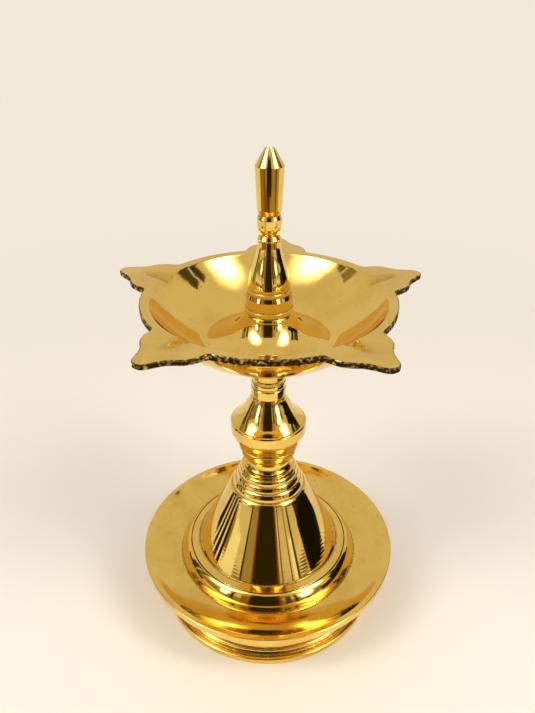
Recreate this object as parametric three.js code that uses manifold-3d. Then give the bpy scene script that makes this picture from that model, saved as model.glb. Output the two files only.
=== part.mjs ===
// Five-beaked brass stand lamp: a hollow foot with a drip tray, a turned cone and stem,
// an oil bowl with five wick beaks, and a finial that screws down on the bowl's boss.
// Millimetres, +Z up. Z = 0 is the surface that the lamp stands on.

import * as THREE from 'three';
import { mergeVertices } from 'three/addons/utils/BufferGeometryUtils.js';
import Module from 'manifold-3d';

const wasm = await Module();
wasm.setup();

// Fits
const restGap = 0.3; // between faces that rest on each other
const slipGap = 0.35; // around a spigot, bolt, screw or seal in its hole
const flankGap = 0.16; // along the lamp's axis, between the flanks of mating threads

// Foot and drip tray
const trayRadius = 50;
const trayHeight = 23.7; // floor to the top of the lip
const trayLip = 2.0; // width of the lip's flat top
const trayEdge = 3.2; // height of the lip's outer edge
const trayWall = 2.6;
const trayDrop = 4.6; // lip down to the lowest line of the dish
const footRadius = 42.6;
const footFlangeHeight = 2.4;
const footFlangeStep = 2.2; // how far the flange stands proud of the drum
const footDrumHeight = 14;
const footBeadRadius = 0.8; // the small half-round bead on the drum
const footBeadHeight = 5.5;
const ringWidth = 3.75; // the convex ring round the cone
const ringRise = 5.8; // the ring's top above the lowest line of the dish
const rebateDepth = 4.7; // how deep the cone's skirt stands in the ring

// Cone
const coneRadius = 30.9;
const coneLedge = 3.15; // the flat ledge round the foot of the flank
const coneShoulderRadius = 15.2; // where the plain flank ends
const coneSkirt = 4.4; // the upright edge under the ledge
const coneFlankHeight = 26.2;
const coneWall = 2.6;
const coneHeadRadius = 10.3;
const coneHeadHeight = 10.7; // the stepped rings above the flank
const coneRings = 3; // steps between the shoulder and the head
const ringLine = 0.4; // depth of the line cut under each ring

// Stem
const spigotRadius = 6; // locates the stem in the cone's head
const spigotLength = 2;
const neckFootRadius = 8.8;
const neckRadius = 7.9;
const neckHeight = 4.2;
const lowerTierRadius = 11.2;
const lowerTierHeight = 5.6;
const upperTierRadius = 13.2;
const upperTierHeight = 5.6;
const knopRadius = 13.9;
const knopBand = 4.6; // height of the knop's upright band
const shoulderHeight = 9.7; // the hollow curve from the knop up to the collar
const collarRadius = 5.85;
const collarBandHeight = 8.4; // the banded part under the plain collar
const collarHeight = 6.4;

// Screw thread of the lamp: 5/16 inch, 18 turns to the inch
const threadMajor = 7.94 / 2;
const threadDepth = 0.85;
const threadPitch = 25.4 / 18;
const threadCrest = 0.2; // width of the flat crest, as a share of the pitch
const threadRoot = 0.4; // width of the flat root, as a share of the pitch
const threadFlats = 10; // to the turn
const screwRunout = 1.8; // thread below the bowl's tapped length
const screwOverrun = 0.8; // thread above the finial's tapped length

// Bowl
const bowlSphere = 50; // radius of the round that the bowl's outside follows
const bowlDepth = 23.5;
const bowlWall = 2.5;
const lipThickness = 2.2; // the upright cast edge of the rim
const bowlSeatFlat = 0.3; // how much of the round is faced off to seat it
const bossRadius = 8.2;
const bossHeight = 18; // from the seat to the boss's top face
const bossLean = 13.75; // degrees that its side faces up, at the top
const bossTurn = 63; // where its hollow side meets the wider flare
const bossSpread = 84; // where the flare meets the floor
const bossBend = 12.5; // radius of its hollow side, in outline
const flareBend = 21.3;
const bowlTapLength = 8.9;

// Beaks. They are spaced by eye, as cast, so each has its own angle round the bowl.
const beakAngles = [21.3, 86.4, 156.9, 230.7, 307];
const backBeak = 1; // which of them points to the back
const beakReach = 15.6; // from the rim to the tip
const backBeakReach = 13.8; // that one is a little shorter
const beakHalfWidth = 11.2;
const beakThickness = 1.9;
const channelLength = 7.1; // how far a wick channel runs past the rim
const channelHalfWidth = 2.25; // at the rim
const channelDepth = 1.5; // at the rim

// Finial
const finialFootRadius = 8.15;
const finialFootBand = 1.5;
const finialCollarRadius = 7.8;
const finialCollarHeight = 3.8;
const finialStepHeight = 3.85; // bevel and two small bands between collar and bottle
const finialBottleRadius = 6.95;
const finialBottleHeight = 13.25;
const finialNeckRadius = 3.74;
const finialBeadRadius = 3.95;
const finialBeadsHeight = 11.6;
const finialHeadRadius = 4.56;
const finialHeadHeight = 13.5;
const finialTipRadius = 1.6;
const finialTipHeight = 4.9;
const finialTapLength = 8.8;
const finialBoreRoom = 1.6; // between the screw's end and the end of the blind hole

// Seals and base fasteners
const sealThickness = 0.9;
const bowlSealRadius = 5.5;
const finialSealRadius = 6.2;
const boltRadius = 4; // M8
const boltGrip = 13; // how far the bolt enters the stem, which makes it an M8 by 60
const boltHeadWidth = 13; // across the flats
const boltHeadHeight = 5.3;
const washerRadius = 8;
const washerThickness = 1.6;
const lockWasherRadius = 7.05;
const lockWasherThickness = 2;
const lockWasherSlot = 1.2;

// Levels, stacked from the floor up
const dishLow = trayHeight - trayDrop;
const ringTop = dishLow + ringRise;
const coneSeat = ringTop - rebateDepth;
const webUnder = coneSeat - trayWall;
const coneFoot = coneSeat + restGap;
const coneFlankFoot = coneFoot + coneSkirt;
const coneHeadFoot = coneFlankFoot + coneFlankHeight;
const coneTop = coneHeadFoot + coneHeadHeight;
const stemFoot = coneTop + restGap;
const lowerTierFoot = stemFoot + neckHeight;
const upperTierFoot = lowerTierFoot + lowerTierHeight;
const knopFoot = upperTierFoot + upperTierHeight;
const knopTop = knopFoot + knopBand;
const collarFoot = knopTop + shoulderHeight;
const collarBandTop = collarFoot + collarBandHeight;
const stemTop = collarBandTop + collarHeight;
const boltSeat = webUnder - washerThickness - lockWasherThickness - 3 * restGap;
const boltTip = stemFoot - spigotLength + boltGrip;
const bowlSeat = stemTop + sealThickness + 2 * restGap;
const bowlCentre = bowlSeat - bowlSeatFlat + bowlSphere;
const rimTop = bowlCentre - bowlSphere + bowlDepth;
const bossTop = bowlSeat + bossHeight;
const bowlTapFoot = bossTop - bowlTapLength;
const finialFoot = bossTop + restGap;
const finialRecessTop = finialFoot + sealThickness + restGap;
const finialTapTop = finialRecessTop + finialTapLength;
const screwStart = bowlTapFoot - screwRunout;
const screwTop = finialTapTop + screwOverrun;

// Radii that follow from other sizes
const rimRadius = Math.sqrt(bowlSphere ** 2 - (bowlCentre - rimTop) ** 2);
const rebateRadius = coneRadius + slipGap;
const ringOuter = rebateRadius + ringWidth;
const coneFlankRadius = coneRadius - coneLedge;
const drumRadius = footRadius - footFlangeStep;
const screwHole = threadMajor + slipGap;
const pilotHole = 0.9 * (threadMajor - threadDepth); // before the tap opens it
const boltHole = boltRadius + slipGap;

// The origin is the middle of the lamp's whole footprint. The lamp's axis stands in front
// of it, because the beak at the back reaches further than the tray does at the front.
const backAngle = THREE.MathUtils.degToRad(beakAngles[backBeak]);
const backReach = (rimRadius + backBeakReach) * Math.sin(backAngle);
const axisY = (trayRadius - backReach) / 2;

// Facets round each turned piece
const wideFacets = 44;
const slimFacets = 24;

// A closed geometry as a solid that can be joined and cut.
function solid(geometry) {
  const bare = geometry.clone();
  bare.deleteAttribute('normal');
  bare.deleteAttribute('uv');
  const merged = mergeVertices(bare, 1e-4);
  const vertProperties = new Float32Array(merged.getAttribute('position').array);
  const triVerts = new Uint32Array(merged.getIndex().array);
  return new wasm.Manifold(new wasm.Mesh({ numProp: 3, vertProperties, triVerts }));
}

// The solid back as a geometry.
function geometryOf(body) {
  const mesh = body.getMesh();
  const geometry = new THREE.BufferGeometry();
  geometry.setAttribute('position', new THREE.BufferAttribute(mesh.vertProperties, 3));
  geometry.setIndex(new THREE.BufferAttribute(mesh.triVerts, 1));
  geometry.computeVertexNormals();
  return geometry;
}

// Turns an outline of radius and height about the Z axis. The outline runs out along the
// bottom, up the outside and back in along the top.
function turned(outline, facets = wideFacets, curveSteps = 3) {
  return new THREE.LatheGeometry(outline.getPoints(curveSteps), facets).rotateX(Math.PI / 2);
}

// A new outline through the given points, to be drawn on.
function outlineFrom(...points) {
  const outline = new THREE.Path();
  outline.moveTo(...points[0]);
  points.slice(1).forEach((point) => outline.lineTo(...point));
  return outline;
}

// Adds straight stretches to an outline.
function lineThrough(outline, ...points) {
  points.forEach((point) => outline.lineTo(...point));
}

// A V line cut into an upright stretch of an outline that is drawn upwards.
function cutLine(outline, radius, height, width, depth) {
  lineThrough(outline, [radius, height - width / 2], [radius - depth, height], [radius, height + width / 2]);
}

// A flat ring.
function ring(inner, outer, low, high, facets) {
  return turned(outlineFrom([inner, low], [outer, low], [outer, high], [inner, high], [inner, low]), facets);
}

// A right-hand helical ridge on a core, past low and high at its ends, as one closed solid.
// The clearances widen it all round, for the tap that cuts the mating nut.
function threadedCore(low, high, radialClearance = 0, flankClearance = 0) {
  const steps = (Math.ceil((high - low) / threadPitch) + 3) * threadFlats;
  const start = (Math.floor(low / threadPitch) - 1) * threadPitch;
  const root = threadMajor - threadDepth + radialClearance;
  const crest = threadMajor + radialClearance;
  const flankLow = (threadRoot * threadPitch) / 2 - flankClearance;
  const flankHigh = ((1 - threadCrest) * threadPitch) / 2 - flankClearance;
  const ridge = [
    [root, flankLow],
    [crest, flankHigh],
    [crest, threadPitch - flankHigh],
    [root, threadPitch - flankLow],
  ];
  const positions = [];
  for (let step = 0; step <= steps; step += 1) {
    const angle = (step / threadFlats) * 2 * Math.PI;
    const rise = start + (step / threadFlats) * threadPitch;
    for (const [radius, height] of ridge) {
      positions.push(radius * Math.cos(angle), radius * Math.sin(angle), rise + height);
    }
  }
  positions.push(0, 0, start, 0, 0, start + (steps / threadFlats + 1) * threadPitch);
  const geometry = new THREE.BufferGeometry();
  geometry.setAttribute('position', new THREE.Float32BufferAttribute(positions, 3));
  geometry.setIndex([...threadFlanks(steps), ...threadEnds(steps)]);
  return solid(geometry);
}

// The ridge has four corners at each step round the helix, counted from the low root up.
const ridgeCorners = 4;
const upperRoot = ridgeCorners - 1;

// The helical faces: both flanks and the crest of the ridge, and the root up to the next turn.
function threadFlanks(steps) {
  const index = [];
  const quad = (a, b, c, d) => index.push(a, b, c, a, c, d);
  const turnUp = threadFlats * ridgeCorners;
  for (let step = 0; step < steps; step += 1) {
    const here = step * ridgeCorners;
    const next = here + ridgeCorners;
    for (let side = 0; side < upperRoot; side += 1) {
      quad(here + side, next + side, next + side + 1, here + side + 1);
    }
    const turnAbove = step + threadFlats < steps;
    if (turnAbove) quad(here + upperRoot, next + upperRoot, next + turnUp, here + turnUp);
  }
  return index;
}

// The two ends: fans from the helical edge to a point on the axis.
function threadEnds(steps) {
  const last = steps * ridgeCorners;
  const bottom = last + ridgeCorners;
  const top = bottom + 1;
  const oneTurn = Array.from({ length: threadFlats + 1 }, (_, step) => step * ridgeCorners);
  const lastTurn = oneTurn.map((corner) => corner + last - threadFlats * ridgeCorners + upperRoot);
  const downRidge = [upperRoot, upperRoot - 1, 1, 0];
  const lowEdge = [...oneTurn, ...downRidge];
  const highEdge = [...lastTurn, ...downRidge.slice(1).map((corner) => last + corner), lastTurn[0]];
  const index = [];
  lowEdge.slice(1).forEach((corner, place) => index.push(bottom, corner, lowEdge[place]));
  highEdge.slice(1).forEach((corner, place) => index.push(top, highEdge[place], corner));
  return index;
}

// The hollow that a tap leaves between two levels, on a plain core hole.
function tappedHole(low, high) {
  const reach = threadMajor + threadDepth;
  const length = solid(ring(0, reach, low, high, slimFacets));
  return threadedCore(low, high, slipGap, flankGap).intersect(length);
}

// Foot and drip tray: a hollow drum with a flange, the dished tray on top, the convex ring
// with the rebate for the cone, and the web that the base bolt draws against.
function footTray() {
  const drumInside = drumRadius - trayWall;
  const edge = 0.5; // broken edges
  const outline = outlineFrom(
    [drumInside, 0],
    [footRadius - edge, 0],
    [footRadius, edge],
    [footRadius, footFlangeHeight - edge],
    [footRadius - edge, footFlangeHeight],
    [drumRadius, footFlangeHeight + edge],
    [drumRadius, footBeadHeight - footBeadRadius],
  );
  outline.absarc(drumRadius, footBeadHeight, footBeadRadius, -Math.PI / 2, Math.PI / 2, false);
  outline.lineTo(drumRadius, footDrumHeight);
  const lipUnder = trayHeight - trayEdge;
  const overhang = trayRadius - drumRadius;
  const hollow = [drumRadius + 0.15 * overhang, footDrumHeight + 0.6 * (lipUnder - footDrumHeight)];
  outline.quadraticCurveTo(...hollow, trayRadius - edge, lipUnder);
  lineThrough(
    outline,
    [trayRadius, lipUnder + edge],
    [trayRadius, trayHeight - edge],
    [trayRadius - edge, trayHeight],
    [trayRadius - trayLip, trayHeight],
  );
  const dishFoot = ringOuter + edge;
  const dishWidth = trayRadius - trayLip - dishFoot;
  outline.quadraticCurveTo(dishFoot + 0.36 * dishWidth, dishLow, dishFoot, dishLow);
  outline.lineTo(ringOuter, dishLow + edge);
  const brow = [rebateRadius + 0.6 * ringWidth, ringTop - 0.16 * ringRise];
  outline.quadraticCurveTo(...brow, rebateRadius + edge / 2, ringTop);
  lineThrough(
    outline,
    [rebateRadius, ringTop - edge / 2],
    [rebateRadius, coneSeat],
    [boltHole, coneSeat],
    [boltHole, webUnder],
    [rebateRadius, webUnder],
    [ringOuter, dishLow - trayWall],
    [drumInside, dishLow - trayWall],
    [drumInside, 0],
  );
  return turned(outline);
}

// Cone: a hollow turned flank with stepped rings above it, and a socket for the stem.
function cone() {
  const flankSlope = (coneFlankRadius - coneShoulderRadius) / coneFlankHeight;
  const inside = (radius) => radius - coneWall * Math.hypot(1, flankSlope);
  const outline = outlineFrom(
    [coneRadius - coneWall, coneFoot],
    [coneRadius, coneFoot],
    [coneRadius, coneFlankFoot],
    [coneFlankRadius, coneFlankFoot],
    [coneShoulderRadius, coneHeadFoot],
  );
  const taper = coneShoulderRadius - coneHeadRadius;
  const step = coneHeadHeight / coneRings;
  const ringRadius = (number) => coneHeadRadius + taper * (1 - number / coneRings) ** 1.25;
  for (let number = 0; number < coneRings; number += 1) {
    const radius = ringRadius(number);
    const above = ringRadius(number + 1);
    const low = coneHeadFoot + number * step;
    const middle = (radius + above) / 2;
    lineThrough(
      outline,
      [radius, low + 0.15 * step],
      [middle + ringLine, low + 0.5 * step],
      [middle, low + 0.56 * step],
      [above + ringLine, low + 0.86 * step],
      [above - ringLine, low + 0.9 * step],
      [above, low + step],
    );
  }
  const socketFloor = coneTop - spigotLength - restGap;
  const headUnder = socketFloor - coneWall;
  lineThrough(
    outline,
    [spigotRadius + slipGap, coneTop],
    [spigotRadius + slipGap, socketFloor],
    [boltHole, socketFloor],
    [boltHole, headUnder],
    [inside(ringRadius(1)), headUnder],
    [inside(coneShoulderRadius), coneHeadFoot],
    [inside(coneFlankRadius), coneFlankFoot],
    [coneRadius - coneWall, coneFlankFoot - 0.65 * coneSkirt],
    [coneRadius - coneWall, coneFoot],
  );
  return turned(outline);
}

// Stem: spigot, neck, two tiers, the knop, the shoulder and the collar, with the lamp's
// screw standing on top and the base bolt's blind hole below.
function stem() {
  const spigotFoot = stemFoot - spigotLength;
  const edge = 0.4;
  const outline = outlineFrom(
    [0, boltTip + 2 * restGap],
    [boltHole, boltTip + 2 * restGap],
    [boltHole, spigotFoot],
    [spigotRadius, spigotFoot],
    [spigotRadius, stemFoot],
    [neckFootRadius, stemFoot],
  );
  outline.quadraticCurveTo(neckRadius, stemFoot + edge, neckRadius, stemFoot + 0.6 * neckHeight);
  outline.lineTo(neckRadius, lowerTierFoot);
  const tierRise = lowerTierRadius - neckRadius;
  outline.lineTo(neckRadius + 0.45 * tierRise, lowerTierFoot);
  outline.quadraticCurveTo(
    lowerTierRadius - edge,
    lowerTierFoot + 0.6 * lowerTierHeight,
    lowerTierRadius,
    upperTierFoot - edge / 2,
  );
  lineThrough(outline, [lowerTierRadius - edge, upperTierFoot], [lowerTierRadius, upperTierFoot + edge / 2]);
  outline.quadraticCurveTo(
    lowerTierRadius + 0.75 * (upperTierRadius - lowerTierRadius),
    upperTierFoot + 0.4 * upperTierHeight,
    upperTierRadius,
    knopFoot,
  );
  lineThrough(
    outline,
    [knopRadius - edge / 4, knopFoot + edge],
    [knopRadius, knopTop - edge / 2],
    [knopRadius - 2.5 * edge, knopTop + 1.5 * edge],
  );
  const shoulderDrop = knopRadius - collarRadius;
  outline.quadraticCurveTo(
    collarRadius + 0.38 * shoulderDrop,
    knopTop + 0.55 * shoulderHeight,
    collarRadius + 0.13 * shoulderDrop,
    knopTop + 0.93 * shoulderHeight,
  );
  const bandRadius = (share) => collarRadius + (1 - share) * edge;
  for (const share of [0.15, 0.5, 0.83]) {
    cutLine(outline, bandRadius(share), collarFoot + share * collarBandHeight, 2 * edge, edge);
  }
  lineThrough(
    outline,
    [collarRadius, collarBandTop],
    [collarRadius, stemTop],
    [threadMajor, stemTop],
    [threadMajor, screwStart],
    [0, screwStart],
  );
  const chamfer = threadDepth;
  const screw = outlineFrom(
    [0, screwStart - chamfer],
    [threadMajor - chamfer, screwStart - chamfer],
    [threadMajor, screwStart],
    [threadMajor + chamfer, screwStart + chamfer],
    [threadMajor + chamfer, screwTop - 2 * chamfer],
    [threadMajor - chamfer, screwTop],
    [0, screwTop],
  );
  const thread = threadedCore(screwStart, screwTop).intersect(solid(turned(screw, slimFacets)));
  return geometryOf(solid(turned(outline, slimFacets)).add(thread));
}

// Bowl: a round shell with a flared, tapped boss, five beaks and a wick channel in each.
function bowl() {
  const inner = bowlSphere - bowlWall;
  const edge = 0.35;
  const seatRadius = Math.sqrt(bowlSphere ** 2 - (bowlSphere - bowlSeatFlat) ** 2);
  const [lean, turn, spread] = [bossLean, bossTurn, bossSpread].map(THREE.MathUtils.degToRad);
  const sideCentre = [bossRadius + bossBend * Math.cos(lean), bossTop + bossBend * Math.sin(lean)];
  const outward = flareBend - bossBend;
  const flareCentre = [sideCentre[0] + outward * Math.cos(turn), sideCentre[1] + outward * Math.sin(turn)];
  const floorRadius = flareCentre[0] - flareBend * Math.cos(spread);
  const slopeTo = (radius, sphere) => -Math.acos(radius / sphere);
  const outsideAt = (height) => Math.sqrt(bowlSphere ** 2 - (bowlCentre - height) ** 2);
  const insideAt = (height) => Math.sqrt(inner ** 2 - (bowlCentre - height) ** 2);
  const outline = outlineFrom([screwHole, bowlSeat], [seatRadius, bowlSeat]);
  const outerEnd = slopeTo(outsideAt(rimTop - lipThickness), bowlSphere);
  outline.absarc(0, bowlCentre, bowlSphere, slopeTo(seatRadius, bowlSphere), outerEnd, false);
  lineThrough(
    outline,
    [rimRadius - edge, rimTop - lipThickness],
    [rimRadius, rimTop - lipThickness + edge],
    [rimRadius, rimTop - edge],
    [rimRadius - edge, rimTop],
    [insideAt(rimTop) + edge, rimTop],
  );
  const innerStart = slopeTo(insideAt(rimTop - edge), inner);
  outline.absarc(0, bowlCentre, inner, innerStart, slopeTo(floorRadius + edge, inner), true);
  outline.absarc(...flareCentre, flareBend, Math.PI + spread, Math.PI + turn, true);
  outline.absarc(...sideCentre, bossBend, Math.PI + turn, Math.PI + lean, true);
  lineThrough(outline, [pilotHole, bossTop], [pilotHole, bowlTapFoot]);
  lineThrough(outline, [screwHole, bowlTapFoot], [screwHole, bowlSeat]);
  let body = solid(turned(outline, wideFacets, 4));
  beakAngles.forEach((angle, number) => {
    const reach = number === backBeak ? backBeakReach : beakReach;
    body = body.add(placeBeak(beakPlate(reach), angle)).add(placeBeak(beakKeel(), angle));
  });
  for (const angle of beakAngles) body = body.subtract(placeBeak(wickChannel(), angle));
  return geometryOf(body.subtract(tappedHole(bowlTapFoot, bossTop + restGap)));
}

// One beak as a flat plate, drawn pointing along +Y from the lamp's axis: a shoulder that
// swings in to a waist, and a blunt tip.
function beakPlate(reach) {
  const root = rimRadius - bowlWall + restGap;
  const at = (across, out) => new THREE.Vector2(across * beakHalfWidth, rimRadius + out * reach);
  const right = [at(0.95, 0.17), at(0.73, 0.4), at(0.49, 0.54), at(0.36, 0.68), at(0.22, 0.9)];
  const left = right.map((point) => new THREE.Vector2(-point.x, point.y)).reverse();
  const shape = new THREE.Shape();
  shape.moveTo(-beakHalfWidth, root);
  shape.lineTo(beakHalfWidth, root);
  shape.splineThru([...right, at(0, 1), ...left]);
  const steps = { depth: beakThickness, bevelEnabled: false, curveSegments: 2 };
  return new THREE.ExtrudeGeometry(shape, steps).translate(0, 0, rimTop - beakThickness);
}

// A V-shaped wedge that runs out at the end of a wick channel: its keel line starts at the
// given radius and meets the given level there.
function channelWedge(startRadius, level, widen, overcut) {
  const end = rimRadius + channelLength;
  const share = (end - startRadius) / channelLength;
  const foot = new THREE.Vector3(0, startRadius, level - share * channelDepth);
  const width = share * channelHalfWidth * widen;
  const corners = [
    new THREE.Vector3(-width, startRadius, level),
    new THREE.Vector3(width, startRadius, level),
    new THREE.Vector3(0, end, level),
  ].map((corner) => corner.sub(foot).multiplyScalar(overcut).add(foot));
  const geometry = new THREE.BufferGeometry().setFromPoints([foot, ...corners]);
  geometry.setIndex([0, 3, 2, 0, 1, 3, 0, 2, 1, 1, 2, 3]);
  return geometry;
}

// The channel is open at the top, and runs down into the bowl.
function wickChannel() {
  return channelWedge(rimRadius - 2.6 * bowlWall, rimTop, 1, 1.3);
}

// The keel follows the channel under the beak, so that the metal stays as thick there.
function beakKeel() {
  return channelWedge(rimRadius - 1.55 * bowlWall, rimTop - beakThickness, 1.6, 1.15);
}

// Turns a beak's shape from +Y to its own angle round the bowl.
function placeBeak(geometry, angle) {
  return solid(geometry.rotateZ(THREE.MathUtils.degToRad(angle - 90)));
}

// Finial: foot band, collar, bottle, beads and the faceted head, tapped from below.
function finial() {
  const boreEnd = screwTop + finialBoreRoom;
  const collarFrom = finialFoot + finialFootBand;
  const collarTop = collarFrom + finialCollarHeight;
  const bottleFoot = collarTop + finialStepHeight;
  const neck = bottleFoot + finialBottleHeight;
  const headFoot = neck + finialBeadsHeight;
  const headTop = headFoot + finialHeadHeight;
  const tip = headTop + finialTipHeight;
  const edge = 0.3;
  const outline = outlineFrom(
    [0, boreEnd],
    [screwHole, boreEnd],
    [screwHole, finialTapTop],
    [pilotHole, finialTapTop],
    [pilotHole, finialRecessTop],
    [finialSealRadius + slipGap, finialRecessTop],
    [finialSealRadius + slipGap, finialFoot],
    [finialFootRadius, finialFoot],
  );
  lineThrough(
    outline,
    [finialFootRadius, collarFrom - edge],
    [finialCollarRadius, collarFrom],
    [finialCollarRadius, collarTop],
    [finialBottleRadius + edge, collarTop + 0.34 * finialStepHeight],
    [finialBottleRadius + edge, collarTop + 0.63 * finialStepHeight],
    [finialBottleRadius, collarTop + 0.7 * finialStepHeight],
    [finialBottleRadius, bottleFoot],
  );
  const slim = finialBottleRadius - finialNeckRadius;
  outline.bezierCurveTo(
    finialBottleRadius - 0.2 * slim,
    bottleFoot + 0.28 * finialBottleHeight,
    finialNeckRadius + 0.12 * slim,
    bottleFoot + 0.68 * finialBottleHeight,
    finialNeckRadius,
    neck,
  );
  const groove = finialBeadRadius - 0.9;
  const beadAt = (share) => neck + share * finialBeadsHeight;
  lineThrough(
    outline,
    [finialNeckRadius, beadAt(0.18)],
    [finialBeadRadius - edge / 2, beadAt(0.2)],
    [groove, beadAt(0.31)],
    [groove + edge, beadAt(0.37)],
  );
  outline.quadraticCurveTo(finialBeadRadius - edge, beadAt(0.46), finialBeadRadius, beadAt(0.76));
  lineThrough(
    outline,
    [groove + edge, beadAt(0.865)],
    [finialHeadRadius - 0.64, headFoot],
    [finialHeadRadius, headTop],
    [finialTipRadius, tip],
    [finialTipRadius / 2, tip],
    [0, tip - finialTipRadius / 2],
  );
  const body = solid(turned(outline, slimFacets));
  return geometryOf(body.subtract(tappedHole(finialRecessTop - restGap, finialTapTop)));
}

// The base bolt: a hexagon head under the web and a plain-drawn M8 shank up to the stem.
function baseBolt() {
  const headLow = boltSeat - boltHeadHeight;
  const corner = boltHeadWidth / Math.sqrt(3);
  const edge = 0.7;
  const head = outlineFrom(
    [0, headLow],
    [corner - edge, headLow],
    [corner, headLow + edge],
    [corner, boltSeat],
    [0, boltSeat],
  );
  const shank = outlineFrom(
    [0, headLow + edge],
    [boltRadius, headLow + edge],
    [boltRadius, boltTip - edge],
    [boltRadius - edge, boltTip],
    [0, boltTip],
  );
  return geometryOf(solid(turned(head, 6)).add(solid(turned(shank, 24))));
}

// The plain washer against the web.
function baseWasher() {
  const high = webUnder - restGap;
  return ring(boltHole, washerRadius, high - washerThickness, high, slimFacets);
}

// The split washer between the plain washer and the bolt's head.
function lockWasher() {
  const high = webUnder - washerThickness - 2 * restGap;
  const low = high - lockWasherThickness;
  const slot = new THREE.BoxGeometry(2 * lockWasherRadius, lockWasherSlot, 2 * lockWasherThickness);
  slot.rotateX(Math.PI / 7).translate(lockWasherRadius, 0, (low + high) / 2);
  return geometryOf(solid(ring(boltHole, lockWasherRadius, low, high, 24)).subtract(solid(slot)));
}

// The seal between the stem's shoulder and the bowl.
function bowlSeal() {
  const low = stemTop + restGap;
  return ring(screwHole, bowlSealRadius, low, low + sealThickness, slimFacets);
}

// The seal in the finial's foot.
function finialSeal() {
  return ring(screwHole, finialSealRadius, finialFoot, finialFoot + sealThickness, slimFacets);
}

// Finishes
const polishedBrass = { color: 0xcfa43a, roughness: 0.16, metalness: 1 };
const turnedBrass = { color: 0xc99b33, roughness: 0.24, metalness: 1 };
const zincSteel = { color: 0xb9bcc0, roughness: 0.38, metalness: 1 };
const redFibre = { color: 0x6b2f22, roughness: 0.8, metalness: 0 };

// A named sub-part with a material of its own.
function subPart(name, geometry, finish) {
  const mesh = new THREE.Mesh(geometry, new THREE.MeshStandardMaterial(finish));
  mesh.name = name;
  return mesh;
}

const lamp = new THREE.Group();
lamp.position.set(0, axisY, 0);
lamp.add(
  subPart('foot_tray', footTray(), polishedBrass),
  subPart('cone', cone(), turnedBrass),
  subPart('stem', stem(), polishedBrass),
  subPart('base_bolt', baseBolt(), zincSteel),
  subPart('base_washer', baseWasher(), zincSteel),
  subPart('lock_washer', lockWasher(), zincSteel),
  subPart('bowl_seal', bowlSeal(), redFibre),
  subPart('bowl', bowl(), polishedBrass),
  subPart('finial_seal', finialSeal(), redFibre),
  subPart('finial', finial(), turnedBrass),
);

export default lamp;
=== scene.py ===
"""The visible pieces of a five-beaked brass stand lamp, and the plain studio that it stands in.

Outlines are lists of (radius, height) in millimetres above the floor. They run out along the
bottom, up the outside and back in along the top. A third number is that corner's rounding.
"""

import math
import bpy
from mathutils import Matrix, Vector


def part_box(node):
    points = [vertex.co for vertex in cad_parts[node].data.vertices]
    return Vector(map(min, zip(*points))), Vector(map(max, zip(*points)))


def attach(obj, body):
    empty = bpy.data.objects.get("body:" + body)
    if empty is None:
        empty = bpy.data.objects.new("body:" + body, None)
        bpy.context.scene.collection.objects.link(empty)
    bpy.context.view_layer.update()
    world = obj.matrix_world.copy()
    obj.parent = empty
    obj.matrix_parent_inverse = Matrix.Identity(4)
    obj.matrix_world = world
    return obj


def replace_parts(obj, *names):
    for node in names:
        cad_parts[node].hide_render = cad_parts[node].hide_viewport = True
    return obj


bl_info = {
    "name": "Five-beaked stand lamp",
    "version": (1, 0, 0),
    "blender": (4, 5, 0),
    "location": "3D View > Sidebar > Lamp",
    "description": "Builds a brass stand lamp piece by piece, and a pale studio round it",
    "category": "Add Mesh",
}

import bpy
import numpy as np
from bpy.props import FloatProperty, FloatVectorProperty, IntProperty, PointerProperty
from mathutils import Matrix, Vector

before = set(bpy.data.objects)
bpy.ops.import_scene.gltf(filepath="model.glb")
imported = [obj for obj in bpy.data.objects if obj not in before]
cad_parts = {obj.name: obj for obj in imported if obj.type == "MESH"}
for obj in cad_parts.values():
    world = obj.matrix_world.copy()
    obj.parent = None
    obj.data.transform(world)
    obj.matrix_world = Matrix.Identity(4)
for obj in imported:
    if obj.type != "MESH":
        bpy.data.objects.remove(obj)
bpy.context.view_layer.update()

MM = 0.001
TRAY_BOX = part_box("foot_tray")
BOWL_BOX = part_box("bowl")
LAMP_AXIS_Y = (TRAY_BOX[0].y + TRAY_BOX[1].y) / 2
RIM_TOP = BOWL_BOX[1].z / MM

# The lamp's own screw thread, 5/16 inch with 18 turns to the inch, in millimetres
THREAD_MAJOR = 7.94 / 2  # outer radius
THREAD_DEPTH = 0.85
THREAD_PITCH = 25.4 / 18
THREAD_CREST = 0.2  # flat crest and flat root, as shares of the pitch
THREAD_ROOT = 0.4
SCREW_FOOT = 106.6  # heights of the stem's shoulder, the thread's start and the screw's top
THREAD_START = 115.4
SCREW_TOP = 137.2
SCREW_STEP = THREAD_PITCH / 8  # between two rings of points on the screw, and in the taps
TAP_STEP = THREAD_PITCH / 10
SLIP_GAP = 0.35  # room between screw and tap, outward and along the flanks
FLANK_GAP = 0.16

# Bowl, in millimetres
BOWL_CENTRE = 157.8  # height of the centre of both rounds
BOWL_OUTER = 50.0
BOWL_INNER = 47.5
RIM_RADIUS = 42.4
RIM_THICKNESS = ((42.4, 2.2), (46.0, 1.9), (58.0, 1.75))  # of the upright edge, by radius
TOP_EDGE = 0.32  # rounding of the edge's upper and lower corner
LOWER_EDGE = 0.25
WALL_FAIRING = 0.9  # how near two faces are where they start to run into each other
UNDER_FAIRING = 0.8
CHANNEL_FAIRING = 0.55
BEAK_ANGLES = (21.3, 86.4, 156.9, 230.7, 307.0)
BEAK_REACH = 15.3  # beyond the rim
BACK_BEAK = 1  # its place among the angles
BACK_BEAK_REACH = 13.6
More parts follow.
